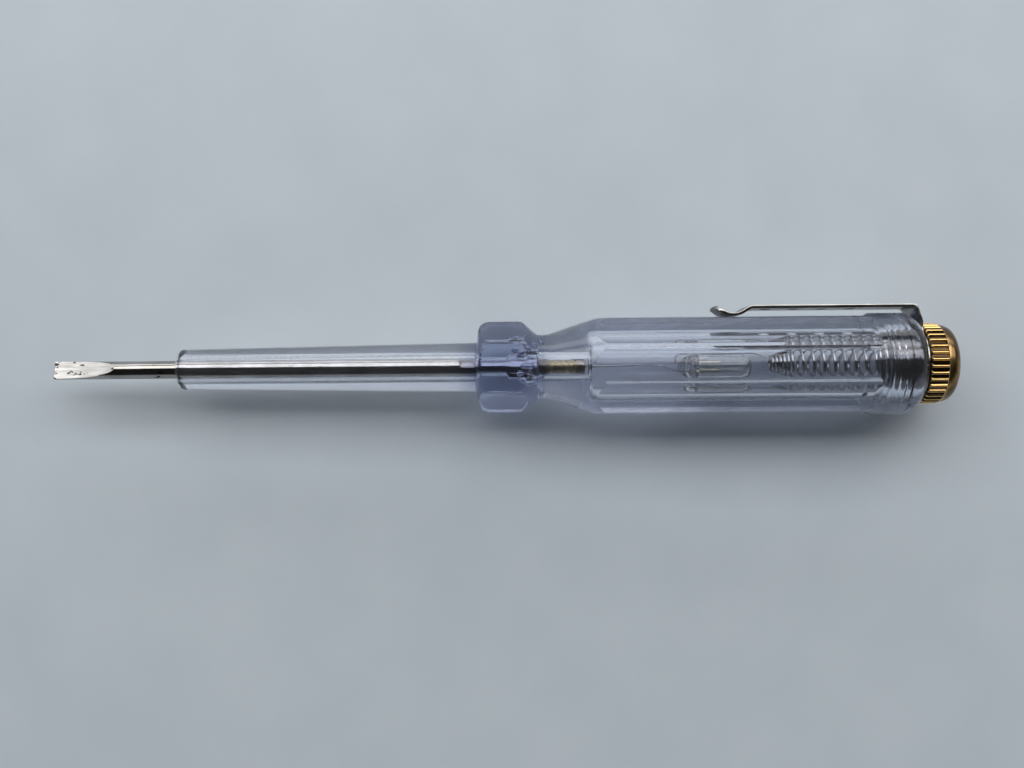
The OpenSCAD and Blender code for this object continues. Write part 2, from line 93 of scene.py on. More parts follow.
SLEEVE_START, HANDLE_END = span("handle")
BLADE_END = span("blade")[1]
STUD_START, CAP_END = span("end_cap")
SPRING_START, SPRING_END = span("contact_spring")
LAMP_START, LAMP_END = span("lamp_bulb")
STEM_START, STEM_END = span("lamp_stem")
ELECTRODE_END = span("lamp_left_electrode")[1]
COLLAR_R = (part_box("handle")[1].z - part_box("handle")[0].z) / 2 / MM
print("handle", round(SLEEVE_START, 2), round(HANDLE_END, 2), "collar radius", round(COLLAR_R, 2))

# %% [markdown]
# The photograph looks almost straight down on the tester from about 16 cm above its axis, so its barrel
# shows a little perspective and its clip shows its inner side. At the axis about 6.4 pixels make one
# millimetre, which together with the lens gives the camera's height.

# %% Camera
PIXELS_PER_MM = 6.38
PICTURE_WIDTH = 1024
LENS = 36.2
SENSOR = 36.0
NEAR_CLIP = 0.01
VIEW_STATION = 71.8
VIEW_SIDE = -2.68
VIEW_ROLL = math.radians(-0.48)
VIEW_TILT = math.radians(0.38)
focal_pixels = LENS / SENSOR * PICTURE_WIDTH
camera = bpy.data.objects.new("camera", bpy.data.cameras.new("camera"))
camera.data.lens = LENS
camera.data.sensor_width = SENSOR
camera.data.clip_start = NEAR_CLIP
view_height = focal_pixels / PIXELS_PER_MM
camera.location = to_world((VIEW_STATION + view_height * math.tan(VIEW_TILT), VIEW_SIDE, view_height))
camera.rotation_euler = (0, VIEW_TILT, VIEW_ROLL)
bpy.context.scene.collection.objects.link(camera)
bpy.context.scene.camera = camera
bpy.context.scene.view_settings.view_transform = "Standard"
print("camera height over the floor, mm:", round(camera.location.z / MM, 1))

# %% [markdown]
# Shader nodes are easier to read when each is one call. The first helper adds a node, sets its options,
# and links an input when it is given a socket or sets it when it is given a number. The others are the few
# kinds of node that every finish here needs. Noise keeps mostly to the middle of its range, so the helpers
# stretch that part.

# %% Node helpers
NOISE_LOW, NOISE_HIGH = 0.3, 0.7


def new_material(name):
    """A material with an empty node tree apart from its output."""
    made = bpy.data.materials.new(name)
    made.use_nodes = True
    made.node_tree.nodes.clear()
    made.node_tree.nodes.new("ShaderNodeOutputMaterial")
    return made


def node(owner, kind, settings=None, **inputs):
    """Add a node. Inputs are named with _ for a space, or n0, n1, n2 for those that share a name."""
    tree = owner.node_tree
    made = tree.nodes.new("ShaderNode" + kind)
    for key, value in (settings or {}).items():
        setattr(made, key, value)
    for key, value in inputs.items():
        socket = made.inputs[int(key[1:]) if key[1:].isdigit() else key.replace("_", " ")]
        if isinstance(value, bpy.types.NodeSocket):
            tree.links.new(value, socket)
        else:
            socket.default_value = value
    return made


def surface(owner, shader, volume=None):
    """Send a shader, and a volume where there is one, to the material's output."""
    output = owner.node_tree.nodes["Material Output"]
    owner.node_tree.links.new(shader.outputs[0], output.inputs["Surface"])
    if volume:
        owner.node_tree.links.new(volume.outputs[0], output.inputs["Volume"])


def grain(owner, scale, detail=4, stretch=(1, 1, 1)):
    """Noise fixed to the piece. Scale is in features per metre, stretch makes it run along an axis."""
    place = node(owner, "TexCoord")
    mapped = node(owner, "Mapping", Vector=place.outputs["Object"], Scale=stretch)
    return node(owner, "TexNoise", Vector=mapped.outputs[0], Scale=scale, Detail=detail).outputs["Fac"]


def spread(owner, value, low, high, start=NOISE_LOW, end=NOISE_HIGH):
    """Map a value that runs from start to end, as noise does if they aren't given, to low to high."""
    ranges = {"From_Min": start, "From_Max": end, "To_Min": low, "To_Max": high}
    return node(owner, "MapRange", Value=value, **ranges).outputs[0]


def reckon(owner, operation, *values):
    """One step of arithmetic on numbers or sockets."""
    terms = {f"n{i}": value for i, value in enumerate(values)}
    return node(owner, "Math", {"operation": operation}, **terms).outputs[0]


def mix_colour(owner, share, first, second):
    """Go from one colour to another by a share."""
    return node(owner, "Mix", {"data_type": "RGBA"}, n0=share, n6=first, n7=second).outputs[2]


def shades(owner, value, *stops):
    """A colour ramp: stops are (place, colour)."""
    ramp = node(owner, "ValToRGB", Fac=value)
    while len(ramp.color_ramp.elements) < len(stops):
        ramp.color_ramp.elements.new(0.5)
    for element, (place, colour) in zip(ramp.color_ramp.elements, stops):
        element.position = place
        element.color = (*colour, 1)
    return ramp.outputs["Color"]


def bump(owner, height, strength, distance):
    """A bump from a height value. Distance is the real height in metres."""
    return node(owner, "Bump", Height=height, Strength=strength, Distance=distance).outputs[0]


print("node helpers ready")

# %% [markdown]
# The stage is a plain pale table top. It ends in front of the window, where the backdrop takes over.

# %% Floor
FLOOR_HALF = 0.8
TABLE_CLOUDS = 60
TABLE_DULL = (0.58, 0.65, 0.72)
TABLE_PALE = (0.62, 0.69, 0.76)
TABLE_ROUGH = 0.6
floor_mesh = bpy.data.meshes.new("floor")
corners = [(-1, -1), (1, -1), (1, 1), (-1, 1)]
floor_mesh.from_pydata([(x * FLOOR_HALF, y * FLOOR_HALF, 0) for x, y in corners], [], [(0, 1, 2, 3)])
floor = bpy.data.objects.new("floor", floor_mesh)
bpy.context.scene.collection.objects.link(floor)
table_top = new_material("table_top")
clouds = grain(table_top, TABLE_CLOUDS)
table_grey = shades(table_top, clouds, (NOISE_LOW, TABLE_DULL), (NOISE_HIGH, TABLE_PALE))
surface(table_top, node(table_top, "BsdfPrincipled", Base_Color=table_grey, Roughness=TABLE_ROUGH))
floor_mesh.materials.append(table_top)
print("floor", 2 * FLOOR_HALF, "m square")

# %% [markdown]
# A clear object looks like what stands round it, so the light matters as much as the material. The real
# one lay beside a window: bright on the clip's side from low down to about 70 degrees, and dark overhead
# and opposite. Two lamps make the window's panes, with a dark bar between them. The world is a pale
# backdrop low round the table and goes nearly black above it.

# %% Light
WINDOW_WHITE = (1.0, 0.99, 0.97)
WINDOW_WIDTH = 2.0
WINDOW_AIM = Vector((0.05, 0, 0.01))
BACKDROP_TINT = (0.90, 0.95, 1.0, 1)
BACKDROP_TOP = math.sin(math.radians(12))
ROOM_BOTTOM = math.sin(math.radians(28))
BACKDROP_LEVEL, ROOM_LEVEL = 0.45, 0.022


def window_pane(name, place, height, power):
    """A rectangular area lamp that faces the tester."""
    lamp = bpy.data.lights.new(name, "AREA")
    lamp.shape = "RECTANGLE"
    lamp.size = WINDOW_WIDTH
    lamp.size_y = height
    lamp.energy = power
    lamp.color = WINDOW_WHITE
    holder = bpy.data.objects.new(name, lamp)
    holder.location = place
    holder.rotation_euler = (WINDOW_AIM - Vector(place)).to_track_quat("-Z", "Y").to_euler()
    bpy.context.scene.collection.objects.link(holder)


window_pane("window_upper", (0.05, 0.482, 0.671), height=0.50, power=8.6)
window_pane("window_lower", (0.05, 0.809, 0.267), height=0.27, power=3.0)
room = bpy.data.worlds.new("room")
room.use_nodes = True
backdrop = room.node_tree.nodes["Background"]
backdrop.inputs["Color"].default_value = BACKDROP_TINT
upward = node(room, "SeparateXYZ", Vector=node(room, "TexCoord").outputs["Generated"]).outputs["Z"]
fading = spread(room, upward, BACKDROP_LEVEL, ROOM_LEVEL, BACKDROP_TOP, ROOM_BOTTOM)
room.node_tree.links.new(fading, backdrop.inputs["Strength"])
bpy.context.scene.world = room

# %% [markdown]
# Turned pieces are drawn as an outline of radius against station. Sharp corners give no highlight, so
# every corner carries a rounding. Close pairs of points beside each straight keep the smooth shading of
# the rounding from spreading along it.

# %% Outlines and skins
HOLD = 0.05


def rounded(corners, steps=6):
    """Corners as (station, radius, rounding) to a smooth list of points."""
    points = []
    for i, (station, radius, size) in enumerate(corners):
        here = np.array((station, radius), float)
        if size == 0:
            points.append(here)
            continue
        before = np.array(corners[i - 1][:2]) - here
        after = np.array(corners[i + 1][:2]) - here
        start = here + before / np.linalg.norm(before) * size
        end = here + after / np.linalg.norm(after) * size
        for t in np.linspace(0, 1, steps + 1):
            points.append((1 - t) ** 2 * start + 2 * t * (1 - t) * here + t * t * end)
    held = [points[0]]
    for a, b in zip(points, points[1:]):
        gap = np.linalg.norm(b - a)
        if gap > 4 * HOLD:
            held += [a + (b - a) * HOLD / gap, b - (b - a) * HOLD / gap]
        held.append(b)
    return np.array(held)


def ring_angles(sides):
    """Angles round the axis, from straight up towards the clip."""
    return np.linspace(0, 2 * np.pi, sides, endpoint=False)


def rings_of(outline, angles, shape=None):
    """Points of an outline swept round the axis. Shape may change the radius by station and angle."""
    station = outline[:, :1] + 0 * angles
    radius = outline[:, 1:] + 0 * angles
    if shape:
        radius = shape(station, radius, angles)
    return np.stack((station, radius * np.sin(angles), radius * np.cos(angles)), axis=-1)


def grid_faces(rows, columns, loop):
    """Quads between neighbouring rings, and in a loop also from the last ring to the first."""
    i = np.arange(rows if loop else rows - 1)[:, None]
    k = np.arange(columns)[None, :]
    down, right = (i + 1) % rows, (k + 1) % columns
    quads = (i * columns + k, down * columns + k, down * columns + right, i * columns + right)
    return np.stack(np.broadcast_arrays(*quads), axis=-1).reshape(-1, 4)


MERGE = 1e-8
SHARP = math.radians(50)


def finish_mesh(name, bm, material):
    """Make an object from a bmesh, smooth apart from its sharp edges."""
    bmesh.ops.remove_doubles(bm, verts=bm.verts, dist=MERGE)
    mesh = bpy.data.meshes.new(name)
    bm.to_mesh(mesh)
    bm.free()
    mesh.shade_smooth()
    mesh.set_sharp_from_angle(angle=SHARP)
    mesh.materials.append(material)
    made = bpy.data.objects.new(name, mesh)
    bpy.context.scene.collection.objects.link(made)
    print(name, len(mesh.vertices), "points", len(mesh.polygons), "faces")
    return made


def add_skin(bm, rings, loop=False):
    """Put a skin of rings, given in millimetres about the axis, into a bmesh."""
    places = to_world(rings.reshape(-1, 3))
    verts = [bm.verts.new(p) for p in places]
    for face in grid_faces(rings.shape[0], rings.shape[1], loop):
        bm.faces.new([verts[i] for i in face])


def turned(name, outline, sides, material, shape=None, loop=False):
    """A piece turned on the axis."""
    bm = bmesh.new()
    add_skin(bm, rings_of(outline, ring_angles(sides), shape), loop)
    return finish_mesh(name, bm, material)


def place_piece(piece, body, slot, *nodes):
    """Ride a piece on its body, in place of the construction's nodes. The slot is not used."""
    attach(piece, body)
    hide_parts(*nodes)


print("turning helpers ready")

# %% [markdown]
# The handle is one clear moulding, and the render lives or dies by it. Its plastic is a transmissive
# surface with the refraction of acrylic, and a volume that absorbs a little red and green, so that thick
# places and edges turn pale blue. The real barrel shows streaks along its length from the mould's polish,
# which a bump stretched along the axis gives. Round the guard the surface colour is darkened to a grey
# blue as painted shade, and the underside is scuffed: a clean one would trap the light inside and turn
# black.

# %% Clear plastic
GUARD_SHADE_MID = 71.0
GUARD_SHADE_NEAR, GUARD_SHADE_FAR = 4.5, 8
SCUFFED_DOWN, SCUFFED_UP = 3.5, 2.5
SCUFF_ROUGH = 0.5
UNSHADED_TINT = (0.95, 0.96, 1.0)
PAINTED_SHADE_TINT = (0.58, 0.62, 0.77)
DEEP_TINT = (0.42, 0.54, 0.84, 1)
clear_plastic = new_material("clear_plastic")
streaks = grain(clear_plastic, 1500, 4, (0.02, 1, 1))
smudges = grain(clear_plastic, 160, 5)
spot = node(clear_plastic, "SeparateXYZ", Vector=node(clear_plastic, "TexCoord").outputs["Object"]).outputs
scuff_low, scuff_high = AXIS_Z - SCUFFED_DOWN * MM, AXIS_Z - SCUFFED_UP * MM
scuffs = spread(clear_plastic, spot["Z"], SCUFF_ROUGH, 0, scuff_low, scuff_high)
# Painted shade: the base colour turns darker and greyer within a few millimetres of the guard's middle.
from_shade_mid = reckon(clear_plastic, "SUBTRACT", spot["X"], TIP_X + GUARD_SHADE_MID * MM)
off_shade_mid = reckon(clear_plastic, "ABSOLUTE", from_shade_mid)
held = spread(clear_plastic, off_shade_mid, 1, 0, GUARD_SHADE_NEAR * MM, GUARD_SHADE_FAR * MM)
painted_shade_tint = shades(clear_plastic, held, (0, UNSHADED_TINT), (1, PAINTED_SHADE_TINT))
polish = spread(clear_plastic, smudges, 0.005, 0.06)
plastic = node(
    clear_plastic,
    "BsdfPrincipled",
    Base_Color=painted_shade_tint,
    IOR=1.49,
    Transmission_Weight=0.985,
    Roughness=reckon(clear_plastic, "MAXIMUM", polish, scuffs),
    Normal=bump(clear_plastic, streaks, 0.5, 0.00002),
)
tint = node(clear_plastic, "VolumeAbsorption", Color=DEEP_TINT, Density=28.0)
surface(clear_plastic, plastic, tint)
print("clear plastic ready")

# %% [markdown]
# The moulding's outside is a turned outline cut by flats: six on the finger guard and eight on the
# barrel. Where a cone meets flats the edge is a curve, and a formula gives it for free: the radius at any
# station and angle is the smaller of the outline and the flat, blended a little so that the edge is soft.

# %% Handle outside
GUARD_START = 66.5
GUARD_SIDES = 6
GUARD_FLATS = 12.5
GUARD_R = 7.1
GUARD_ROUND = 2.0
GUARD_SLOPE = 2.5
NECK_START = 75.8
NECK_R = 5.0
CONE_START = 77.3
BARREL_SIDES = 8
BARREL_FLATS = 14.8
BARREL_R = 7.9
CONE_END = 86.0
RAMP_START = 126.4
COLLAR_START = 127.4
CROWN_LEN = 2.4
CROWN_R = 2.7
SLEEVE_FRONT_R = 3.15
SLEEVE_REAR_R = 3.85
SHAFT_BORE_R = 1.55
EDGE_SOFTNESS = 0.02
EDGE_TURN = math.radians(0.45)
CLOSE_STEP = 0.12
CROWN_START = HANDLE_END - CROWN_LEN


def soft_min(a, b, k):
    """The smaller of two values, blended over k."""
    h = np.clip(0.5 + 0.5 * (b - a) / k, 0, 1)
    return b + (a - b) * h - k * h * (1 - h)


def flat_radius(angles, count, across):
    """Radius of a polygon with its first flat on top."""
    step = 2 * np.pi / count
    return across / 2 / np.cos((angles + step / 2) % step - step / 2)


def edge_angles(count, across, radius):
    """Angles where flats meet the round, each with a close one on both sides to keep the edge crisp."""
    edge = math.acos(across / 2 / radius)
    turns = [side * (edge + nudge) for side in (-1, 1) for nudge in (-EDGE_TURN, 0, EDGE_TURN)]
    return [(2 * np.pi * k / count + turn) % (2 * np.pi) for k in range(count) for turn in turns]


def denser(outline, start, end, step):
    """Add points to an outline between two stations."""
    extra = [s for s in np.arange(start, end, step) if np.abs(outline[:, 0] - s).min() > step / 3]
    added = np.column_stack((extra, np.interp(extra, outline[:, 0], outline[:, 1])))
    both = np.concatenate((outline, added))
    return both[np.argsort(both[:, 0], kind="stable")]


def handle_shape(station, radius, angles):
    """Cut the guard's and the barrel's flats, then raise the collar's ramp out of the barrel's."""
    hexagon = soft_min(radius, flat_radius(angles, GUARD_SIDES, GUARD_FLATS), EDGE_SOFTNESS)
    octagon = soft_min(radius, flat_radius(angles, BARREL_SIDES, BARREL_FLATS), EDGE_SOFTNESS)
    slope = (COLLAR_R - BARREL_FLATS / 2) / (COLLAR_START - RAMP_START)
    ramp = np.minimum(BARREL_FLATS / 2 + (station - RAMP_START) * slope, COLLAR_R)
    barrel = -soft_min(-octagon, -ramp, EDGE_SOFTNESS)
    barrel = np.where(station > RAMP_START - 1, barrel, octagon)
    shaped = np.where(station < NECK_START, hexagon, barrel)
    return np.where((station <= GUARD_START - HOLD) | (station > COLLAR_START + HOLD), radius, shaped)


front_outline = rounded([
    (SLEEVE_START, SHAFT_BORE_R, 0),
    (SLEEVE_START, SLEEVE_FRONT_R, 0.95),
    (GUARD_START, SLEEVE_REAR_R, 0.35),
    (GUARD_START, GUARD_R, GUARD_ROUND),
    (NECK_START - GUARD_SLOPE, GUARD_R, 0.3),
    (NECK_START, NECK_R, 0.4),
    (CONE_START, NECK_R, 0.5),
    (CONE_END, BARREL_R, 0.2),
    (RAMP_START - 0.4, BARREL_R, 0)], steps=8)
front_outline = denser(front_outline, NECK_START - GUARD_SLOPE, NECK_START - 1, CLOSE_STEP)
front_outline = denser(front_outline, CONE_END - 2, CONE_END + 0.4, CLOSE_STEP)
ramp_outline = [(s, BARREL_R) for s in np.linspace(RAMP_START - 0.3, COLLAR_START + HOLD, 22)]
crown_in = COLLAR_R - CROWN_R
crown_turn = math.asin(CROWN_LEN / CROWN_R)
crown = [(CROWN_START + CROWN_R * math.sin(a), crown_in + CROWN_R * math.cos(a))
         for a in np.linspace(0, crown_turn, 18)]
collar_outline = [(COLLAR_START + 2 * HOLD, COLLAR_R), (CROWN_START - HOLD, COLLAR_R), *crown]
outside = np.concatenate((front_outline, ramp_outline, collar_outline))
print("outside outline:", len(outside), "points")

# %% [markdown]
# Inside, the moulding is stepped: a threaded socket for the cap, a bore for the spring and the lamp, and
# a tight bore round the shaft that widens where the shaft is crimped flat. The thread is a ridge that
# climbs 1 mm a turn. The cap's stud gets the same thread, so the two mesh at every turn of the cap.

# %% Handle inside
SOCKET_ROOM = 0.4
SOCKET_FLOOR = STUD_START - SOCKET_ROOM
SOCKET_R = 4.11
SOCKET_CHAMFER = 0.4
BORE_FRONT = 84.1
BORE_R = 3.8
BORE_ROUND = 1.3
THREAD_PITCH = 1.0
THREAD_DEPTH = 0.12
THREAD_INSET = 0.2
THREAD_FADE = 0.4
THREAD_START, THREAD_END = SOCKET_FLOOR + THREAD_INSET, HANDLE_END - THREAD_INSET
THREAD_ROW = 0.055
FLANK_FOOT, FLANK_RUN = 0.375, 0.3125
EAR_START, EAR_END = 70.8, 75.4
EAR_RAMP = 0.6
EAR_R = 1.95
EAR_HALF = 0.8
EAR_ROLL = math.radians(8)
EAR_BULGE = 0.22
EAR_PLAY = 0.03
POCKET_END, BORE_END = 0.2, 0.3
SHAFT_R = 1.4
TINY = 1e-6


def thread_height(station, angles):
    """Height of a right-hand V thread, from 0 in the stud's groove to 1 on its crest."""
    turn = (station / THREAD_PITCH + angles / (2 * np.pi)) % 1
    return np.clip((FLANK_FOOT - np.abs(turn - 0.5)) / FLANK_RUN, 0, 1)


def ear_size(station):
    """Radius, half thickness and bulge of the crimped ears, which fade into the round shaft."""
    depth = np.clip(np.minimum(station - EAR_START, EAR_END - station) / EAR_RAMP, 0, 1)
    return SHAFT_R + (EAR_R - SHAFT_R) * depth, SHAFT_R + (EAR_HALF - SHAFT_R) * depth, EAR_BULGE * depth


def ear_pocket(station, radius, angles):
    """Widen the shaft's bore round the ears."""
    width, half, bulge = ear_size(station)
    facing = np.abs(np.cos(angles - EAR_ROLL))
    slab = (half + EAR_PLAY) / np.maximum(facing, TINY)
    return np.maximum(radius, np.minimum(width + EAR_PLAY, slab + bulge * facing))


def socket_thread(station, radius, angles):
    """Raise the thread out of the socket's wall, fading at both ends."""
    fade = np.clip(np.minimum(station - THREAD_START, THREAD_END - station) / THREAD_FADE, 0, 1)
    return radius - THREAD_DEPTH * fade * (1 - thread_height(station, angles))


rear_face = rounded([
    (HANDLE_END, crown_in + CROWN_R * math.cos(crown_turn) - HOLD, 0),
    (HANDLE_END, SOCKET_R + SOCKET_CHAMFER, 0.1),
    (HANDLE_END - SOCKET_CHAMFER, SOCKET_R, 0)])
socket_rows = np.arange(HANDLE_END - SOCKET_CHAMFER - HOLD, SOCKET_FLOOR, -THREAD_ROW)
socket = np.array([(s, SOCKET_R) for s in socket_rows])
bore = rounded([
    (SOCKET_FLOOR, SOCKET_R, 0),
    (SOCKET_FLOOR, BORE_R, 0.1),
    (BORE_FRONT, BORE_R, BORE_ROUND),
    (BORE_FRONT, SHAFT_BORE_R, 0.12),
    (EAR_END + BORE_END, SHAFT_BORE_R, 0)])
pocket_rows = np.linspace(EAR_END + POCKET_END, EAR_START - POCKET_END, 40)
pocket = np.array([(s, SHAFT_BORE_R) for s in pocket_rows])
mouth = rounded([(EAR_START - BORE_END, SHAFT_BORE_R, 0), (SLEEVE_START + HOLD, SHAFT_BORE_R, 0)])

SIDES = 216
guard_edges = edge_angles(GUARD_SIDES, GUARD_FLATS, GUARD_R)
barrel_edges = edge_angles(BARREL_SIDES, BARREL_FLATS, BARREL_R)
angles = np.unique(np.concatenate((ring_angles(SIDES), guard_edges, barrel_edges)))
handle_rings = np.concatenate((
    rings_of(outside, angles, handle_shape),
    rings_of(rear_face, angles),
    rings_of(socket, angles, socket_thread),
    rings_of(bore, angles),
    rings_of(pocket, angles, ear_pocket),
    rings_of(mouth, angles)))
handle_bm = bmesh.new()
add_skin(handle_bm, handle_rings, loop=True)
print("handle rings:", len(handle_rings))

# %% [markdown]
# Round the crimped ears the plastic trapped air as it was moulded. Each bubble is a small ball turned
# inside out in the same mesh, so light leaves the plastic and enters it again there.

# %% Bubbles round the ears
BUBBLES = 26
BUBBLES_START, BUBBLES_END = 72.3, NECK_START + 0.6
BUBBLE_LEAST, BUBBLE_MOST = 0.15, 0.55
BUBBLE_ROOM = 1.1
BUBBLE_GAP = 0.1
BUBBLE_SPREAD = 0.8
BUBBLE_STRETCH = 1.5
draw = np.random.default_rng(7)
for _ in range(BUBBLES):
    station = draw.uniform(BUBBLES_START, BUBBLES_END)
    turn = draw.uniform(0, 2 * np.pi)
    size = draw.uniform(BUBBLE_LEAST, BUBBLE_MOST)
    reach = EAR_R + EAR_PLAY + size * BUBBLE_ROOM + BUBBLE_GAP + draw.uniform(0, BUBBLE_SPREAD)
    ball = bmesh.ops.create_icosphere(handle_bm, subdivisions=3, radius=size * MM)
    centre = to_world((station, reach * math.sin(turn), reach * math.cos(turn)))
    for vert in ball["verts"]:
        vert.co = Vector((vert.co.x * BUBBLE_STRETCH, vert.co.y, vert.co.z)) + Vector(centre)
    bmesh.ops.reverse_faces(handle_bm, faces=list({f for v in ball["verts"] for f in v.link_faces}))

handle = finish_mesh("clear_handle", handle_bm, clear_plastic)
place_piece(handle, "body", "clear_plastic", "handle")

# %% [markdown]
# Plated steel is a metal whose roughness changes in streaks along the draw, with fine scratches and a
# few dark specks where the plate is worn through.

# %% Plated steel
TIP_WEAR_LEN = 7.0
DRAWN_SCALE, CLOUD_SCALE = 2500, 220
CLOUD_LOW, CLOUD_HIGH = 0.35, 0.65
SPECK_EDGE = 0.03
BARE_STEEL = (0.05, 0.045, 0.04, 1)


def plated_steel(name, colours, rough, speck_scale, speck_level, edge=1.0, tip_wear=0.0):
    """Nickel plate: colours are (dull, bright), rough is (least, most), edge dims glancing light.

    Specks show where their noise is over speck_level, and tip_wear adds more of them at the tip.
    """
    made = new_material(name)
    drawn = grain(made, DRAWN_SCALE, 4, (0.06, 1, 1))
    clouds = grain(made, CLOUD_SCALE, 4)
    specks = grain(made, speck_scale, 2, (0.5, 1, 1))
    along = node(made, "SeparateXYZ", Vector=node(made, "TexCoord").outputs["Object"]).outputs["X"]
    at_tip = spread(made, along, tip_wear, 0, TIP_X, TIP_X + TIP_WEAR_LEN * MM)
    specks = reckon(made, "ADD", specks, at_tip)
    plate = shades(made, clouds, (CLOUD_LOW, colours[0]), (CLOUD_HIGH, colours[1]))
    worn = spread(made, specks, 0, 1, speck_level, speck_level + SPECK_EDGE)
    shader = node(
        made,
        "BsdfPrincipled",
        Base_Color=mix_colour(made, worn, plate, BARE_STEEL),
        Metallic=1.0,
        Specular_Tint=(edge, edge, edge, 1),
        Roughness=spread(made, drawn, *rough),
        Normal=bump(made, drawn, 0.15, 0.00001),
    )
    surface(made, shader)
    return made


blade_steel = plated_steel(
    "blade_steel",
    colours=((0.32, 0.31, 0.29), (0.44, 0.43, 0.42)),
    rough=(0.05, 0.14),
    speck_scale=1300,
    speck_level=0.7,
)
ground_steel = plated_steel(
    "ground_steel",
    colours=((0.48, 0.48, 0.47), (0.64, 0.63, 0.62)),
    rough=(0.35, 0.6),
    speck_scale=1800,
    speck_level=0.68,
    tip_wear=0.14,
)
print("plated steel ready")

# %% [markdown]
# The blade is a round shaft with two flats ground at its tip, two ears pressed out inside the guard and a
# short mark of the press in front of it. All are a round rod cut by a slab. Each ring places its points
# where flat and round meet, so that the edges run clean along the rod, and between two cuts the points
# turn slowly from one cut's direction to the next.

# %% Blade
FLAT_LEN = 9.8
EDGE_HALF = 0.3
BLADE_ROLL = math.radians(14)
GRIND_DEPTH = SHAFT_R - EDGE_HALF
WHEEL_R = (FLAT_LEN ** 2 + GRIND_DEPTH ** 2) / (2 * GRIND_DEPTH)
PRESS_START, PRESS_END = 63.6, 66.4
PRESS_RAMP = 0.35
PRESS_DEPTH = 0.36
PRESS_ROLL = math.radians(42)
TURN_STATIONS = (FLAT_LEN, PRESS_START - 1, PRESS_END, EAR_START)
TURN_ROLLS = (BLADE_ROLL, PRESS_ROLL, PRESS_ROLL, EAR_ROLL)
FLAT_POINTS = 12
FLAT_FACING = 0.97
ROUND_POINTS = 28
TIP_NARROW, END_NARROW = 0.95, 0.93
END_GAP = 0.02


def slab_ring(station, radius, half, roll, bulge=0.0):
    """A ring of a round rod cut by a slab: flat, round edge, flat, round edge. Flats may bulge."""
    turn = math.acos(min(half / radius, 1))
    reach = radius * math.sin(turn)
    flat = np.linspace(-reach, reach, FLAT_POINTS, endpoint=False)
    edge = np.linspace(turn, np.pi - turn, ROUND_POINTS, endpoint=False)
    level = min(half, radius)
    rise = bulge * (1 - (flat / max(reach, HOLD)) ** 2)
    side = [*zip(flat, level + rise)] + [(radius * math.sin(a), radius * math.cos(a)) for a in edge]
    both = np.array(side + [(-v, -w) for v, w in side])
    y = both[:, 0] * math.cos(roll) + both[:, 1] * math.sin(roll)
    z = both[:, 1] * math.cos(roll) - both[:, 0] * math.sin(roll)
    return np.column_stack((np.full(len(both), station), y, z))


def blade_ring(station):
    """A ring of the blade at a station."""
    if station < FLAT_LEN:
        half = EDGE_HALF + WHEEL_R - math.sqrt(WHEEL_R ** 2 - station ** 2)
        return slab_ring(station, SHAFT_R, half, BLADE_ROLL)
    roll = float(np.interp(station, TURN_STATIONS, TURN_ROLLS))
    if station < PRESS_END:
        pressed = np.clip(min(station - PRESS_START, PRESS_END - station) / PRESS_RAMP, 0, 1)
        return slab_ring(station, SHAFT_R, SHAFT_R - PRESS_DEPTH * float(pressed), roll)
    radius, half, bulge = ear_size(station)
    return slab_ring(station, float(radius), float(half), roll, float(bulge))


tip_stations = [0.03, *np.linspace(0.1, FLAT_LEN - HOLD, 30), FLAT_LEN + HOLD]
shaft_stations = np.linspace(SLEEVE_START, PRESS_START - 1, 30)
press_stations = np.linspace(PRESS_START - HOLD, PRESS_END, 40)
turn_stations = np.linspace(PRESS_END + HOLD, EAR_START - HOLD, 24)
ear_stations = [*np.linspace(EAR_START, EAR_END, 40), EAR_END + HOLD]
end_stations = [BLADE_END - 0.2, BLADE_END - 0.08]
rear_stations = (*shaft_stations, *press_stations, *turn_stations, *ear_stations, *end_stations)
rings = [blade_ring(s) for s in (*tip_stations, *rear_stations)]
first = rings[0].copy()
first[:, 0] = 0
first[:, 1:] *= TIP_NARROW
last = rings[-1].copy()
last[:, 0] = BLADE_END - END_GAP
last[:, 1:] *= END_NARROW
centres = [np.tile((s, 0, 0), (len(first), 1)) for s in (0, BLADE_END - END_GAP)]
blade_bm = bmesh.new()
add_skin(blade_bm, np.stack([centres[0], first, *rings, last, centres[1]]))
blade = finish_mesh("steel_blade", blade_bm, blade_steel)
blade.data.materials.append(ground_steel)
flat_way = Vector((0, math.sin(BLADE_ROLL), math.cos(BLADE_ROLL)))
for face in blade.data.polygons:
    ground = face.center.x < TIP_X + FLAT_LEN * MM and abs(face.normal @ flat_way) > FLAT_FACING
    face.material_index = int(ground)
place_piece(blade, "body", "plated_steel", "blade")

# %% [markdown]
# The resistor lies in the neck between the blade and the bore: a ceramic rod with a bronze-beige lacquer,
# shiny enough to go dark away from the window, and a pressed metal cap on each end.

# %% Resistor
CAP_LEN = 1.5
RESISTOR_R = 1.2
LACQUER_BROWN = (0.24, 0.20, 0.11)
LACQUER_BEIGE = (0.35, 0.30, 0.17)
lacquer = new_material("resistor_lacquer")
spots = grain(lacquer, 900, 5)
mottle = shades(lacquer, spots, (NOISE_LOW, LACQUER_BROWN), (NOISE_HIGH, LACQUER_BEIGE))
lacquer_coat = node(
    lacquer,
    "BsdfPrincipled",
    Base_Color=mottle,
    Metallic=0.7,
    Roughness=spread(lacquer, grain(lacquer, 700), 0.18, 0.34),
    Normal=bump(lacquer, grain(lacquer, 1800, 3), 0.2, 0.00002),
)
surface(lacquer, lacquer_coat)
tinned = plated_steel(
    "tinned_metal",
    colours=((0.16, 0.14, 0.11), (0.30, 0.27, 0.22)),
    rough=(0.25, 0.45),
    speck_scale=900,
    speck_level=0.66,
)
dull_lead = plated_steel(
    "dull_lead",
    colours=((0.46, 0.46, 0.48), (0.60, 0.60, 0.63)),
    rough=(0.6, 0.8),
    speck_scale=900,
    speck_level=0.8,
)

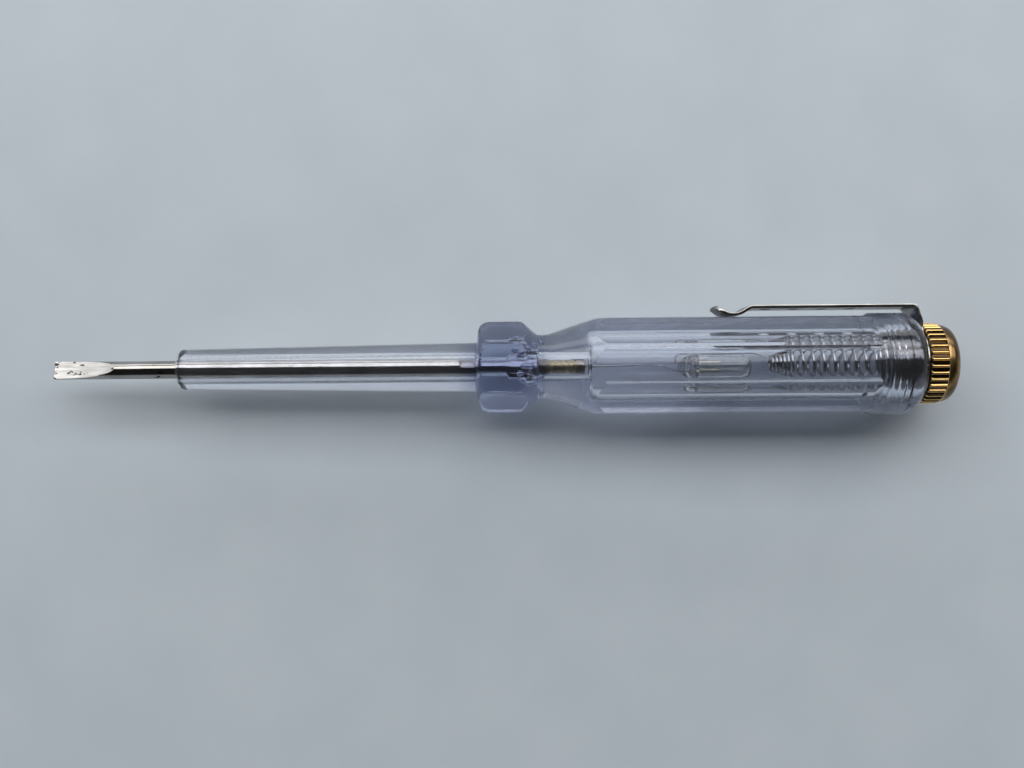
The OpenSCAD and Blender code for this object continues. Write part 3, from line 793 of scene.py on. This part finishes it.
cap_front, cap_rear = span("resistor_front_cap")[0], span("resistor_rear_cap")[1]
body_outline = rounded([
    (cap_front + CAP_LEN - 0.1, 0, 0),
    (cap_front + CAP_LEN - 0.1, RESISTOR_R - 0.05, 0.05),
    (cap_front + CAP_LEN + 0.5, RESISTOR_R - 0.04, 0.3),
    (cap_front + CAP_LEN + 0.9, RESISTOR_R - 0.15, 0.3),
    (cap_rear - CAP_LEN - 0.9, RESISTOR_R - 0.15, 0.3),
    (cap_rear - CAP_LEN - 0.5, RESISTOR_R - 0.04, 0.3),
    (cap_rear - CAP_LEN + 0.1, RESISTOR_R - 0.05, 0.05),
    (cap_rear - CAP_LEN + 0.1, 0, 0)])
resistor_body = turned("resistor_rod", body_outline, 64, lacquer)
place_piece(resistor_body, "body", "resistor_coat", "resistor_body")


def resistor_cap(name, closed_end, open_end, replaced):
    """A drawn cup with a rounded closed end."""
    turn = 1 if open_end > closed_end else -1
    outline = rounded([
        (closed_end + turn * 0.01, 0, 0),
        (closed_end + turn * 0.01, RESISTOR_R, 0.25),
        (open_end, RESISTOR_R, 0.06),
        (open_end, RESISTOR_R - 0.12, 0)])
    cup = turned(name, outline, 64, tinned)
    place_piece(cup, "body", "tinned_metal", replaced)


resistor_cap("resistor_cup_front", cap_front, cap_front + CAP_LEN, "resistor_front_cap")
resistor_cap("resistor_cup_rear", cap_rear, cap_rear - CAP_LEN, "resistor_rear_cap")

# %% [markdown]
# The lamp is a drawn glass tube, closed by a pip behind and by a pinched stem in front. It is one piece
# of glass, so it is one closed skin with a second skin, turned inwards, for the gas inside.

# %% Lamp glass
LAMP_R = (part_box("lamp_bulb")[1].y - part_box("lamp_bulb")[0].y) / 2 / MM
LAMP_LEAN = off_axis("lamp_bulb")
LAMP_WALL = 0.45
PIP_R = 0.5
lamp_glass = new_material("lamp_glass")
glass = node(
    lamp_glass,
    "BsdfPrincipled",
    Base_Color=(0.98, 0.99, 0.98, 1),
    IOR=1.5,
    Transmission_Weight=1.0,
    Roughness=spread(lamp_glass, grain(lamp_glass, 400), 0.0, 0.03),
    Normal=bump(lamp_glass, grain(lamp_glass, 500, 2), 0.3, 0.00003),
)
surface(lamp_glass, glass)
PINCH_R = 1.3
PINCH_END, PINCH_RUN = 0.9, 1.4
PINCH_DEPTH = 0.35
glass_outline = rounded([
    (STEM_START, 0, 0),
    (STEM_START, PINCH_R, 0.3),
    (LAMP_START + 0.5, LAMP_R - 0.25, 0.5),
    (LAMP_START + 1.2, LAMP_R, 0.4),
    (LAMP_END - PIP_R, LAMP_R, 1.6),
    (LAMP_END - PIP_R, PIP_R, 0.3),
    (LAMP_END, PIP_R, 0.4),
    (LAMP_END, 0, 0)], steps=10)
gas_outline = rounded([
    (LAMP_END - PIP_R - LAMP_WALL, 0, 0),
    (LAMP_END - PIP_R - LAMP_WALL, LAMP_R - LAMP_WALL, 1.2),
    (STEM_END - 0.4, LAMP_R - LAMP_WALL, 0.3),
    (STEM_END - 0.1, LAMP_R - LAMP_WALL - 0.7, 0.3),
    (STEM_END - 0.02, 0, 0)], steps=10)


def pinch(station, radius, angles):
    """Flatten the stem between the jaws that sealed it."""
    grip = np.clip((LAMP_START + PINCH_END - station) / PINCH_RUN, 0, 1)
    return radius * (1 - PINCH_DEPTH * grip * np.abs(np.cos(angles)))


lamp_bm = bmesh.new()
add_skin(lamp_bm, rings_of(glass_outline, ring_angles(96), pinch) + LAMP_LEAN)
add_skin(lamp_bm, rings_of(gas_outline, ring_angles(96)) + LAMP_LEAN)
lamp = finish_mesh("lamp_envelope", lamp_bm, lamp_glass)
place_piece(lamp, "body", "lamp_glass", "lamp_bulb", "lamp_stem")

# %% [markdown]
# Two nickel rods stand side by side on the stem. Each shows drawing lines and a rounded end. One outline
# makes both, and each is moved to the place that its own construction piece has off the axis.

# %% Electrodes
ELECTRODE_R = 0.65
electrode_nickel = plated_steel(
    "electrode_nickel",
    colours=((0.50, 0.49, 0.44), (0.66, 0.65, 0.60)),
    rough=(0.4, 0.6),
    speck_scale=1500,
    speck_level=0.74,
)
rod_outline = rounded([
    (STEM_END - 0.6, 0, 0),
    (STEM_END - 0.6, ELECTRODE_R, 0.1),
    (ELECTRODE_END, ELECTRODE_R, 0.3),
    (ELECTRODE_END, 0, 0)])
for name in ("left", "right"):
    replaced = "lamp_" + name + "_electrode"
    rod_rings = rings_of(rod_outline, ring_angles(48)) + off_axis(replaced)
    rod_bm = bmesh.new()
    add_skin(rod_bm, rod_rings)
    rod = finish_mesh("electrode_rod_" + name, rod_bm, electrode_nickel)
    place_piece(rod, "body", "nickel", replaced)

# %% [markdown]
# Wires are tubes along a smooth path. The same helper draws the lamp's two leads and the spring. The
# side of each ring is carried along the path, so the tube never twists.

# %% Wire helper
ANY_SIDE = (0.3, 0.2, 1.0)


def smooth_path(points, per_stretch=10):
    """A curve through given points, one cubic between each pair."""
    p = np.array(points, float)
    slopes = np.gradient(p, axis=0)
    curve = []
    for i in range(len(p) - 1):
        for t in np.linspace(0, 1, per_stretch, endpoint=False):
            a, b = p[i], p[i + 1]
            h = t * t * (3 - 2 * t)
            tangents = slopes[i] * t * (1 - t) ** 2 - slopes[i + 1] * t * t * (1 - t)
            curve.append(a + (b - a) * h + tangents)
    return np.array([*curve, p[-1]])


def wire_rings(path, radius, sides):
    """Rings along a path, each carried on from the one before."""
    ahead = np.gradient(path, axis=0)
    ahead /= np.linalg.norm(ahead, axis=1)[:, None]
    side = np.cross(ahead[0], ANY_SIDE)
    turn = ring_angles(sides)[:, None]
    rings = []
    for point, direction in zip(path, ahead):
        side = side - direction * (side @ direction)
        side /= np.linalg.norm(side)
        rings.append(point + radius * (np.cos(turn) * np.cross(direction, side) + np.sin(turn) * side))
    ends = [np.tile(path[i], (sides, 1)) for i in (0, -1)]
    return np.stack([ends[0], *rings, ends[1]])


def wire(name, path, diameter, sides, material):
    """A wire along a path in millimetres about the axis."""
    bm = bmesh.new()
    add_skin(bm, wire_rings(path, diameter / 2, sides))
    return finish_mesh(name, bm, material)


print("wire helper ready")

# %% [markdown]
# One lead runs along the axis from the resistor's cup and bends over to the left rod. The other comes out
# of the stem beside it, folds back along the bulb's side and meets the spring's small end.

# %% Lamp leads
FRONT_LEAD_D = 0.4
RETURN_LEAD_D = 0.25
SPRING_FRONT_R = 1.67
FOLD_RISE = math.radians(20)
FOLD_ROOM = 0.6
FOLD_GAP = 0.05
ON_AXIS = np.zeros(3)
SPRING_LEAN = off_axis("contact_spring")
left_rod = off_axis("lamp_left_electrode")
right_rod = off_axis("lamp_right_electrode")


def at(station, off):
    """A point at a station, off the axis by the given sideways and up."""
    return np.array((station, 0, 0)) + off


front_path = smooth_path([
    at(cap_rear - 0.02, ON_AXIS),
    at(cap_rear + 4, ON_AXIS),
    at(STEM_START - 3.4, ON_AXIS),
    at(STEM_START - 0.4, left_rod),
    at(STEM_START + 1, left_rod),
    at(STEM_END - 0.4, left_rod)])
front_lead = wire("lead_front", front_path, FRONT_LEAD_D, 16, dull_lead)
place_piece(front_lead, "body", "tinned_metal", "lamp_front_lead")
fold = STEM_START - FOLD_ROOM
fold_r = LAMP_R + RETURN_LEAD_D / 2 + FOLD_GAP
beside = LAMP_LEAN + fold_r * np.array((0, math.cos(FOLD_RISE), math.sin(FOLD_RISE)))
coil_tip = SPRING_LEAN + np.array((0, SPRING_FRONT_R, 0))
way = (beside - right_rod) / np.linalg.norm(beside - right_rod)
return_path = smooth_path([
    at(STEM_END - 0.4, right_rod),
    at(STEM_START, right_rod),
    at(fold + 0.1, right_rod + 0.5 * way),
    at(fold + 0.1, beside - 0.5 * way),
    at(fold + 0.7, beside),
    at(LAMP_START + 2, beside),
    at(LAMP_END - 2, beside),
    at(LAMP_END, beside),
    at(SPRING_START - 0.6, coil_tip),
    at(SPRING_START - 0.02, coil_tip)])
return_lead = wire("lead_return", return_path, RETURN_LEAD_D, 12, dull_lead)
place_piece(return_lead, "body", "tinned_metal", "lamp_return_lead")

# %% [markdown]
# The contact spring is one drawn wire: a close cone in front that touches the lamp's lead, then open
# turns up to the end of the cap's stud. It is wound right-handed and lies on the bore's wall.

# %% Contact spring
WIRE_D = 0.5
CONE_TURNS = 5.2
OPEN_TURNS = 9.3
SPRING_R = (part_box("contact_spring")[1].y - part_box("contact_spring")[0].y) / 2 / MM - WIRE_D / 2
CONE_LEN = 2.74
COIL_NUDGE = 0.14
TURN_POINTS = 40
spring_steel = plated_steel(
    "spring_steel",
    colours=((0.22, 0.23, 0.25), (0.40, 0.41, 0.44)),
    rough=(0.08, 0.2),
    speck_scale=1600,
    speck_level=0.74,
)
all_turns = CONE_TURNS + OPEN_TURNS
turns = np.linspace(0, all_turns, int(all_turns * TURN_POINTS))
cone = np.minimum(turns / CONE_TURNS, 1)
open_share = np.maximum(turns - CONE_TURNS, 0) / OPEN_TURNS
coil_start = SPRING_START + WIRE_D / 2 + COIL_NUDGE
coil_len = SPRING_END - WIRE_D / 2 - coil_start
coil_x = coil_start + CONE_LEN * cone + (coil_len - CONE_LEN) * open_share
coil_r = SPRING_FRONT_R + (SPRING_R - SPRING_FRONT_R) * cone
coil_y, coil_z = coil_r * np.cos(2 * np.pi * turns), coil_r * np.sin(2 * np.pi * turns)
coil_path = np.column_stack((coil_x, coil_y, coil_z)) + SPRING_LEAN
spring = wire("coil_spring", coil_path, WIRE_D, 14, spring_steel)
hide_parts("contact_spring")
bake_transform(spring)
print("spring turns:", all_turns)

# %% [markdown]
# The cap is turned and knurled brass. Tarnish gathers where fingers don't rub, so the colour goes from
# bright on the ridges to brown in the grooves. Distance from the axis tells the two apart.

# %% Brass
HEAD_START = HANDLE_END + 0.5
KNURL_R = 6.25
KNURL_DEPTH = 0.35
RIDGE_HALF = 0.13
KNURL_COUNT = 36
RIM_LEN = 2.2
RIM_R = 6.05
RIM_RUB = 0.5
RIM_STEP = 0.15
RIDGE_RUB = 0.1
STUD_R = 4.05
STUD_CHAMFER = 0.5
STUD_GREY = (0.11, 0.11, 0.12, 1)
STUD_ROUGH = 0.2
THREAD_STOP = 0.6
TARNISH_SHARE = 0.5
BRASS_STOPS = ((0.15, (0.075, 0.05, 0.028)), (0.75, (0.16, 0.10, 0.05)), (1.0, (0.74, 0.50, 0.20)))
brass = new_material("tarnished_brass")
place = node(brass, "TexCoord").outputs["Object"]
apart = node(brass, "VectorMath", {"operation": "SUBTRACT"}, n0=place, n1=(0, AXIS_Y, AXIS_Z))
flat_apart = node(brass, "VectorMath", {"operation": "MULTIPLY"}, n0=apart.outputs[0], n1=(0, 1, 1))
reach = node(brass, "VectorMath", {"operation": "LENGTH"}, n0=flat_apart.outputs[0]).outputs["Value"]
on_ridge = spread(brass, reach, 0, 1, (KNURL_R - KNURL_DEPTH) * MM, (KNURL_R - RIDGE_RUB) * MM)
tarnish = grain(brass, 350, 5)
station_x = node(brass, "SeparateXYZ", Vector=place).outputs["X"]


def by_station(low, high, start, end):
    """Map the stretch from one station to another to a range."""
    return spread(brass, station_x, low, high, TIP_X + start * MM, TIP_X + end * MM)


on_rim = by_station(0, RIM_RUB, CAP_END - RIM_LEN - RIM_STEP, CAP_END - RIM_LEN)
rubbed = reckon(brass, "MAXIMUM", on_ridge, on_rim)
worn = reckon(brass, "MULTIPLY_ADD", tarnish, TARNISH_SHARE, rubbed)
on_head = by_station(0, 1, HEAD_START - THREAD_STOP, HEAD_START)
lathe_lines = grain(brass, 3500, 3, (1, 0.05, 0.05))
head_rough = spread(brass, tarnish, 0.12, 0.28)
brass_shader = node(
    brass,
    "BsdfPrincipled",
    Base_Color=mix_colour(brass, on_head, STUD_GREY, shades(brass, worn, *BRASS_STOPS)),
    Metallic=1.0,
    Roughness=node(brass, "Mix", n0=on_head, n2=STUD_ROUGH, n3=head_rough).outputs[0],
    Normal=bump(brass, lathe_lines, 0.2, 0.00002),
)
surface(brass, brass_shader)
print("brass ready")

# %% [markdown]
# Thirty-six V grooves make the knurl. As with the handle, a formula takes each groove's depth off the
# turned outline. The stud in front carries the thread that runs in the handle's socket.

# %% End cap
GROOVE_SLOPE = 1.6
KNURL_EASE, RIM_EASE, THREAD_EASE = 0.1, 0.05, 0.3
RIDGE_POINTS = 12


def cap_shape(station, radius, angles):
    """Cut the knurl's grooves into the head and the thread into the stud."""
    step = 2 * np.pi / KNURL_COUNT
    off_ridge = (step / 2 - np.abs((angles + step / 2) % step - step / 2)) * KNURL_R
    groove = np.clip((off_ridge - RIDGE_HALF) * GROOVE_SLOPE, 0, KNURL_DEPTH)
    behind_front = np.clip((station - HEAD_START) / KNURL_EASE, 0, 1)
    before_rim = np.clip((CAP_END - RIM_LEN - station) / RIM_EASE, 0, 1)
    knurled = np.minimum(radius, KNURL_R - groove * (behind_front * before_rim))
    thread_in = np.clip((station - STUD_START) / STUD_CHAMFER, 0, 1)
    thread_out = np.clip((HEAD_START - THREAD_STOP - station) / THREAD_EASE, 0, 1)
    fade = thread_in * thread_out * (radius > STUD_R - HOLD)
    cut = THREAD_DEPTH * fade * (1 - thread_height(station, angles))
    return np.where(station < HEAD_START - HOLD, radius - cut, knurled)


stud_end = rounded([
    (STUD_START + 0.02, 0, 0),
    (STUD_START + 0.02, STUD_R - STUD_CHAMFER, 0.1),
    (STUD_START + STUD_CHAMFER, STUD_R, 0)])
stud_rows = np.arange(STUD_START + STUD_CHAMFER + THREAD_ROW, HEAD_START - HOLD, THREAD_ROW)
stud = [(s, STUD_R) for s in stud_rows]
head = rounded([
    (HEAD_START, STUD_R, 0),
    (HEAD_START, KNURL_R - KNURL_DEPTH, 0.08),
    (HEAD_START + KNURL_DEPTH, KNURL_R, 0.08),
    (CAP_END - RIM_LEN - RIM_STEP, KNURL_R, 0.08),
    (CAP_END - RIM_LEN, RIM_R, 0.08),
    (CAP_END, RIM_R, RIM_LEN - 0.1),
    (CAP_END, 1.2, 0.1),
    (CAP_END - 0.02, 0, 0)], steps=10)
cap_outline = np.concatenate((stud_end, stud, head))
cap = turned("brass_cap", cap_outline, KNURL_COUNT * RIDGE_POINTS, brass, cap_shape)
place_piece(cap, "cap", "brass", "end_cap")

# %% [markdown]
# The clip is made as its maker makes it: a flat blank is stamped, with a ring at one end and four round
# holes along the arm, and is then bent. Here the blank is a flat mesh in length and width. Each point
# then goes to its place along the bent strip, and a thickness and a small bevel finish it.

# %% Clip blank
CLIP_T = 0.5
CLIP_HALF = 3.0
RING_R = 5.8
RING_HOLE_R = 4.15
RING_MID = HANDLE_END + CLIP_T / 2
CLIP_TOP = (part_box("clip_arm")[1].y - AXIS_Y) / MM
ARM_LEVEL = CLIP_TOP - CLIP_T / 2
BEND_R = 0.75
BEND_LEVEL = CLIP_TOP - BEND_R - CLIP_T / 2
LEG_LEAN = math.radians(18)
LEAN_R = 0.4
KNEE_R, NOSE_R = 1.4, 3.0
NOSE_FALL, TIP_LIFT = math.radians(32), math.radians(33)
NOSE_GAP = 0.12
NOSE_LEVEL = BARREL_FLATS / 2 + NOSE_GAP + CLIP_T / 2
CLIP_REACH = 29.0
NOSE_STATION = HEAD_START - CLIP_REACH
TIP_LEN = 1.3
TIP_ROUND = 1.4
HOLE_R = 0.9
HOLE_PITCH = 4.4
HOLE_COUNT = 4
HOLE_INSET = 2.4
WIDTH_POINTS = 13
TINY_TURN = 1e-9

lean_level = crown_in + CROWN_R * math.cos(crown_turn) + CLIP_T / 2 * math.tan(LEG_LEAN / 2)
lean_len = (BEND_LEVEL + BEND_R * math.sin(LEG_LEAN) - lean_level) / math.cos(LEG_LEAN)
bend_station = RING_MID - lean_len * math.sin(LEG_LEAN) - BEND_R * math.cos(LEG_LEAN)
lean_cut = LEAN_R * math.tan(LEG_LEAN / 2)
LEG_TOP = lean_level - lean_cut
fall_drop = ARM_LEVEL - NOSE_LEVEL - (KNEE_R + NOSE_R) * (1 - math.cos(NOSE_FALL))
fall_len = fall_drop / math.sin(NOSE_FALL)
knee_station = NOSE_STATION + (KNEE_R + NOSE_R) * math.sin(NOSE_FALL) + fall_len * math.cos(NOSE_FALL)
# The strip's stretches from the ring's centre on: length and how far each turns to the left
STRETCHES = [
    (LEG_TOP, 0),
    (LEAN_R * LEG_LEAN, LEG_LEAN),
    (lean_len - lean_cut, 0),
    (BEND_R * (math.pi / 2 - LEG_LEAN), math.pi / 2 - LEG_LEAN),
    (bend_station - knee_station, 0),
    (KNEE_R * NOSE_FALL, NOSE_FALL),
    (fall_len, 0),
    (NOSE_R * (NOSE_FALL + TIP_LIFT), -(NOSE_FALL + TIP_LIFT)),
    (TIP_LEN, 0)]
ENDS = np.cumsum([length for length, _ in STRETCHES])
STRIP_LEN = ENDS[-1]


def bent(along):
    """Where a length along the strip's middle lies, as (station, height)."""
    place, heading = np.array((RING_MID, 0.0)), math.pi / 2
    for length, turn in STRETCHES:
        part = min(along, length)
        angle = turn * part / length
        chord = part if abs(angle) < TINY_TURN else 2 * part / angle * math.sin(angle / 2)
        middle = heading + angle / 2
        place = place + chord * np.array((math.cos(middle), math.sin(middle)))
        heading += angle
        along -= part
        if along <= 0:
            break
    return place


def half_width(along):
    """Half the strip's width, rounded at its tip."""
    left = STRIP_LEN - along
    if left >= TIP_ROUND:
        return CLIP_HALF
    return CLIP_HALF - TIP_ROUND + math.sqrt(max(TIP_ROUND ** 2 - (TIP_ROUND - left) ** 2, 0))


print("strip length, mm:", round(STRIP_LEN, 2), "tip at station", round(bent(STRIP_LEN)[0], 2))

# %% [markdown]
# The blank's mesh has to bend well and hold round holes, so it is laid out as rows across the strip. Each
# hole sits in a square cell whose rim joins the rows on both sides.

# %% Clip mesh
CELL_HALF = 1.15
RING_POINTS = 73
RING_SHARES = (0, 0.4, 0.8, 1)
HOLE_SHARES = (0, 0.35, 0.7, 1)
BLANK_MERGE = 1e-4
BEVEL = 0.07
across = np.linspace(-1, 1, WIDTH_POINTS)
hole_places = [ENDS[4] - HOLE_INSET - k * HOLE_PITCH for k in range(HOLE_COUNT)][::-1]


def blank_row(along):
    """One row of points across the strip."""
    return [(along, half_width(along) * a) for a in across]


def hole_cell(middle):
    """Loops of points from a cell's rim to its hole."""
    rise = np.linspace(-CELL_HALF, CELL_HALF, 5)
    side = [(middle - CELL_HALF, CLIP_HALF * a) for a in across]
    top = [(middle + r, CLIP_HALF) for r in rise[1:-1]]
    far = [(middle + CELL_HALF, CLIP_HALF * a) for a in across[::-1]]
    rim = np.array(side + top + far + [(2 * middle - u, -v) for u, v in top])
    offset = rim - (middle, 0)
    hole = (middle, 0) + offset / np.linalg.norm(offset, axis=1)[:, None] * HOLE_R
    return [rim + (hole - rim) * share for share in HOLE_SHARES]


def lay_grid(bm, rows, closed):
    """Quads between rows of blank points. Points that fall together are merged later."""
    made = [[bm.verts.new((u, v, 0)) for u, v in row] for row in rows]
    for upper, lower in zip(made, made[1:]):
        count = len(upper) if closed else len(upper) - 1
        for k in range(count):
            n = (k + 1) % len(upper)
            bm.faces.new((upper[k], upper[n], lower[n], lower[k]))


clip_bm = bmesh.new()
leg_turn = np.arctan2(CLIP_HALF * across, LEG_TOP)
round_turn = np.linspace(leg_turn[-1], leg_turn[0] + 2 * np.pi, RING_POINTS)[1:-1]
ring_turn = np.concatenate((leg_turn, round_turn))


def ring_reach(turn):
    """Radius of the ring's outline, with its leg straight ahead."""
    turn = (turn + np.pi) % (2 * np.pi) - np.pi
    if abs(turn) <= leg_turn[-1] + TINY_TURN:
        return LEG_TOP / math.cos(turn)
    if abs(turn) < math.asin(CLIP_HALF / RING_R):
        return CLIP_HALF / math.sin(abs(turn))
    return RING_R


def ring_row(share):
    """Points round the ring, at a share of the way from its hole to its outline."""
    reaches = [RING_HOLE_R + (ring_reach(t) - RING_HOLE_R) * share for t in ring_turn]
    return [(r * math.cos(t), r * math.sin(t)) for t, r in zip(ring_turn, reaches)]


lay_grid(clip_bm, [ring_row(share) for share in RING_SHARES], True)
bends = [np.linspace(ENDS[i], ENDS[i + 1], n)[1:] for i, n in ((0, 4), (1, 3), (2, 9))]
stops = [LEG_TOP, *np.concatenate(bends)]
for middle in hole_places:
    lay_grid(clip_bm, [blank_row(s) for s in (*stops, middle - CELL_HALF)], False)
    lay_grid(clip_bm, hole_cell(middle), True)
    stops = [middle + CELL_HALF]
nose = [np.linspace(ENDS[i], ENDS[i + 1], n)[1:] for i, n in ((4, 9), (5, 3), (6, 13))]
tip = STRIP_LEN - TIP_ROUND * (1 - np.sin(np.linspace(0.35, 1.5, 8)))
tail = np.concatenate((stops, [ENDS[4]], *nose, tip))
lay_grid(clip_bm, [blank_row(s) for s in np.unique(np.round(tail, 6))], False)
bmesh.ops.remove_doubles(clip_bm, verts=clip_bm.verts, dist=BLANK_MERGE)
for vert in clip_bm.verts:
    along, sideways = vert.co.x, vert.co.y
    station, height = bent(along) if along > 0 else (RING_MID, along)
    vert.co = to_world((station, height, sideways))
bmesh.ops.recalc_face_normals(clip_bm, faces=clip_bm.faces)
clip_nickel = plated_steel(
    "clip_nickel",
    colours=((0.33, 0.325, 0.31), (0.56, 0.55, 0.53)),
    rough=(0.10, 0.28),
    speck_scale=1100,
    speck_level=0.71,
    edge=0.35,
)
clip = finish_mesh("pocket_clip_strip", clip_bm, clip_nickel)


def apply_modifiers(piece):
    """Swap a piece's mesh for the one that its modifiers make."""
    made = bpy.data.meshes.new_from_object(piece.evaluated_get(bpy.context.evaluated_depsgraph_get()))
    piece.modifiers.clear()
    piece.data = made


thicken = clip.modifiers.new("thickness", "SOLIDIFY")
thicken.thickness = CLIP_T * MM
thicken.offset = 0
soften = clip.modifiers.new("edges", "BEVEL")
soften.width = BEVEL * MM
soften.segments = 2
soften.limit_method = "ANGLE"
apply_modifiers(clip)
clip.data.shade_smooth()
clip.data.set_sharp_from_angle(angle=SHARP)
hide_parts("clip_ring", "clip_arm")
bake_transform(clip)
print("clip", len(clip.data.polygons), "faces")
